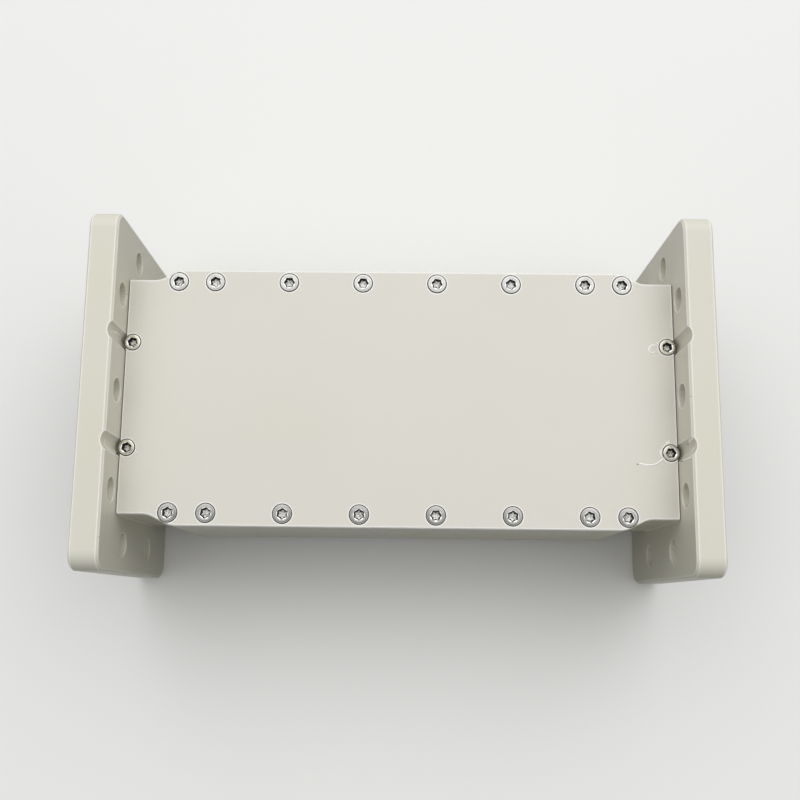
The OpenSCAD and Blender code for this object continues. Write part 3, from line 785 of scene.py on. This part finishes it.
# Pale matt paper. The camera and glossy surfaces see it pale, and it fades into the white backdrop far out.
# It throws back less light on the object, which keeps the shade on the upright faces.
paper, tree = blank_material("pale_studio_paper")
_, seen = rays_that_see(tree)
tone = add(tree, "ShaderNodeMix", {FACTOR: seen, COLOUR_A: linear("#5E5D4E"), COLOUR_B: linear("#F1F1EF")},
           data_type="RGBA")
matt = add(tree, "ShaderNodeBsdfDiffuse", {"Color": tone.outputs[COLOUR_OUT]})
white = add(tree, "ShaderNodeEmission", {"Color": WHITE, "Strength": 1.0})
away = add(tree, "ShaderNodeVectorMath", {0: add(tree, "ShaderNodeTexCoord").outputs["Object"]},
           operation="LENGTH")
far = add(tree, "ShaderNodeMapRange", {"Value": away.outputs["Value"], FROM_LOW: FADE_START,
                                       FROM_HIGH: FADE_END}, interpolation_type="SMOOTHSTEP")
fade = add(tree, "ShaderNodeMath", {0: far, 1: seen}, operation="MULTIPLY")
surface = add(tree, "ShaderNodeMixShader", {0: fade, 1: matt, 2: white})
add(tree, "ShaderNodeOutputMaterial", {"Surface": surface})
floor_mesh.materials.append(paper)

# The room is lighter overhead, a little towards the back, and at both ends. Gloss sees a pale backdrop all
# round and a greyer ceiling straight above.
world = bpy.data.worlds.new("studio")
bpy.context.scene.world = world
world.use_nodes = True
sky = world.node_tree
sky.nodes.clear()
path, seen = rays_that_see(sky)
towards = add(sky, "ShaderNodeTexCoord").outputs["Generated"]
slant = add(sky, "ShaderNodeSeparateXYZ", {"Vector": towards})
overhead = add(sky, "ShaderNodeVectorMath", {0: towards, 1: BRIGHTEST}, operation="DOT_PRODUCT")
overhead = add(sky, "ShaderNodeMapRange", {"Value": overhead.outputs["Value"], FROM_LOW: 0.40,
                                           FROM_HIGH: 0.97, TO_LOW: 0.03, TO_HIGH: 1.15},
               interpolation_type="SMOOTHSTEP")
ends = add(sky, "ShaderNodeMath", {0: slant.outputs["X"]}, operation="ABSOLUTE")
ends = add(sky, "ShaderNodeMapRange", {"Value": ends, FROM_LOW: 0.35, FROM_HIGH: 0.9, TO_HIGH: 0.43})
level = add(sky, "ShaderNodeMath", {0: overhead, 1: ends}, operation="ADD")
room = add(sky, "ShaderNodeBackground", {"Color": WHITE, "Strength": level})
ceiling = add(sky, "ShaderNodeMapRange", {"Value": slant.outputs["Z"], FROM_LOW: 0.90, FROM_HIGH: 0.985,
                                          TO_LOW: 1.0, TO_HIGH: 0.32})
gloss_view = add(sky, "ShaderNodeBackground", {"Color": WHITE, "Strength": ceiling})
backdrop = add(sky, "ShaderNodeBackground", {"Color": WHITE, "Strength": 1.0})
plain_view = add(sky, "ShaderNodeMixShader", {0: path.outputs["Is Camera Ray"], 1: gloss_view, 2: backdrop})
both = add(sky, "ShaderNodeMixShader", {0: seen, 1: room, 2: plain_view})
add(sky, "ShaderNodeOutputWorld", {"Surface": both})

# One large softbox above and behind, which the camera doesn't see.
SOFTBOX_PLACE = Vector((0.08, 0.57, 0.80))
SOFTBOX_AIM = Vector((0.0, 0.0, 0.04))
SOFTBOX_SIZE = (1.4, 1.05)
SOFTBOX_WATTS = 4.3
lamp = bpy.data.lights.new("key_softbox", "AREA")
lamp.shape = "RECTANGLE"
lamp.size, lamp.size_y = SOFTBOX_SIZE
lamp.energy = SOFTBOX_WATTS
softbox = into_scene("key_softbox", lamp)
softbox.location = SOFTBOX_PLACE
softbox.rotation_euler = (SOFTBOX_AIM - SOFTBOX_PLACE).to_track_quat("-Z", "Y").to_euler()
softbox.visible_camera = False
